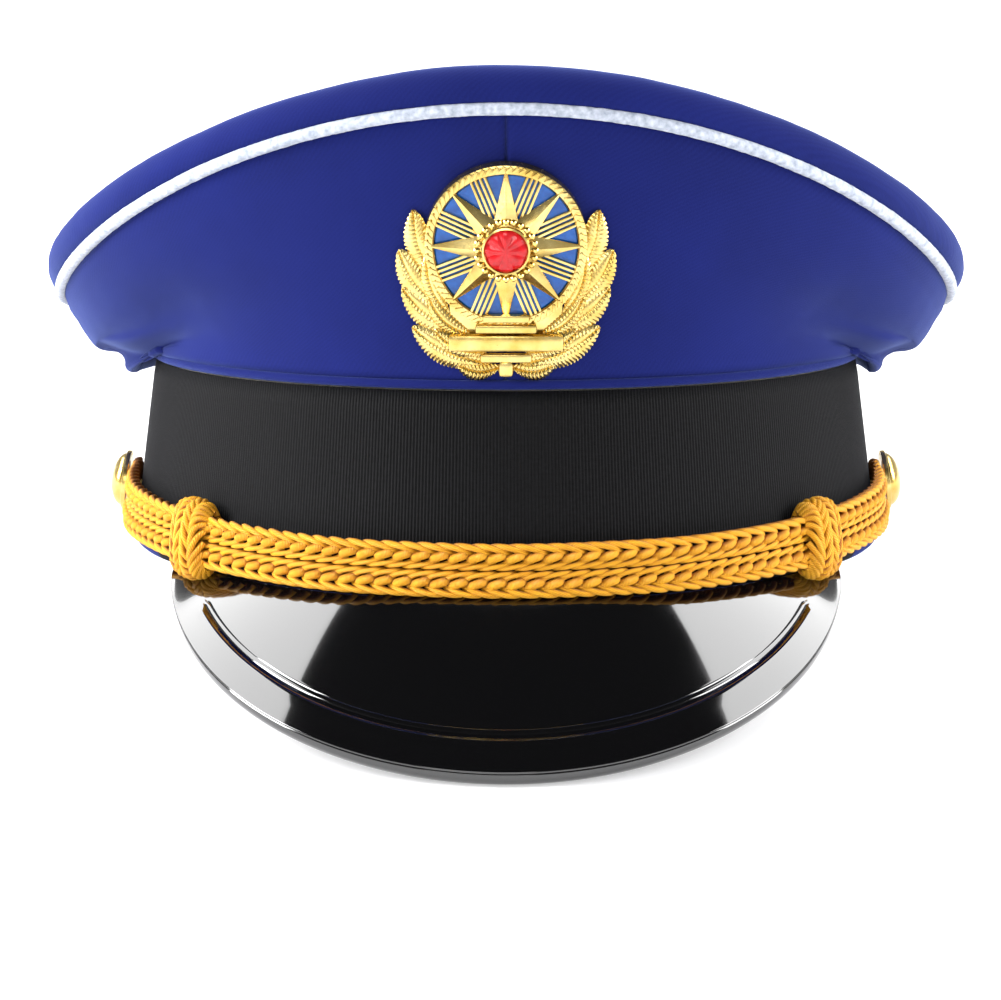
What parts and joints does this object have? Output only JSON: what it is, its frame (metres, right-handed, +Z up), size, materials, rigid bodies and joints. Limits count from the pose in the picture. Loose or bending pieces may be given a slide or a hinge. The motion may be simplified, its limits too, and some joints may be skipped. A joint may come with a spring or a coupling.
{
  "type": "peaked cap",
  "caption": "Military style peaked cap with a high padded crown, ribbed band, glossy visor, plaited gold chin cord on side buttons and a gilt front badge",
  "frame": {"origin": "on the surface the cap stands on, under the middle of its bounding box", "axes": "+Z up, -Y to the cap's front, +X to the wearer's left; the cap leans back on its visor's edge and the band's rear edge"},
  "size_m": [0.231, 0.2734, 0.1513],
  "materials": {
    "blue_cloth": "fine royal blue wool-blend twill, matt with a soft sheen",
    "white_felt": "white felted piping, soft and matt",
    "black_ribbon": "black ribbed ribbon with fine upright ribs",
    "black_plastic": "moulded black plastic with a mirror gloss",
    "gold_cord": "twisted golden yellow rayon cord, plaited",
    "gilt_metal": "stamped brass with a bright gilt finish",
    "blue_enamel": "glossy blue enamel",
    "red_enamel": "glossy red enamel",
    "steel": "plain spring steel",
    "fibre_board": "matt pressed fibre board",
    "wadding": "soft off-white wadding",
    "brown_leather": "thin brown leather, lightly grained",
    "lining_satin": "dark blue satin lining",
    "clear_film": "clear soft plastic film"
  },
  "bodies": {
    "cap": {"badge_boss": "red_enamel", "badge_enamel": "blue_enamel", "badge_plate": "gilt_metal", "badge_rosette": "gilt_metal", "badge_wreath": "gilt_metal", "band_cloth": "blue_cloth", "band_stiffener": "fibre_board", "band_welt": "blue_cloth", "crown_front_left": "blue_cloth", "crown_front_right": "blue_cloth", "crown_hoop": "steel", "crown_lining": "lining_satin", "crown_rear_left": "blue_cloth", "crown_rear_right": "blue_cloth", "crown_top": "blue_cloth", "edge_wadding": "wadding", "front_plate": "fibre_board", "front_stay": "steel", "left_badge_nut": "gilt_metal", "left_badge_post": "gilt_metal", "left_washer": "steel", "ribbed_band": "black_ribbon", "right_badge_nut": "gilt_metal", "right_badge_post": "gilt_metal", "right_washer": "steel", "sweat_shield": "clear_film", "sweatband": "brown_leather", "visor": "black_plastic", "visor_trim": "black_plastic", "white_piping": "white_felt"},
    "chin_strap": {"cord_upper_row": "gold_cord", "cord_lower_row": "gold_cord", "left_cord_loop": "gold_cord", "right_cord_loop": "gold_cord"},
    "left_slide": {"left_knot": "gold_cord"},
    "right_slide": {"right_knot": "gold_cord"},
    "left_button": {"left_button_dome": "gilt_metal", "left_button_back": "gilt_metal", "left_split_pin": "steel"},
    "right_button": {"right_button_dome": "gilt_metal", "right_button_back": "gilt_metal", "right_split_pin": "steel"}
  },
  "joints": [
    {"name": "chin_strap_swing", "type": "hinge", "parent": "cap", "child": "chin_strap", "pos_m": [0, 0.00882, 0.02904], "axis": [-1, 0, 0], "range_deg": [0, 16]},
    {"name": "left_slide_travel", "type": "hinge", "parent": "chin_strap", "child": "left_slide", "pos_m": [-0.00821, -0.00009, 0.0298], "axis": [0, -0.0846, -0.9964], "range_deg": [-6, 9]},
    {"name": "right_slide_travel", "type": "hinge", "parent": "chin_strap", "child": "right_slide", "pos_m": [0.00821, -0.00009, 0.0298], "axis": [0, 0.0846, 0.9964], "range_deg": [-6, 9]},
    {"name": "left_button_turn", "type": "hinge", "parent": "cap", "child": "left_button", "pos_m": [0.09283, 0.00882, 0.02904], "axis": [0.9923, 0.0186, 0.1226], "continuous": true},
    {"name": "right_button_turn", "type": "hinge", "parent": "cap", "child": "right_button", "pos_m": [-0.09283, 0.00882, 0.02904], "axis": [-0.9923, 0.0186, 0.1226], "continuous": true}
  ]
}
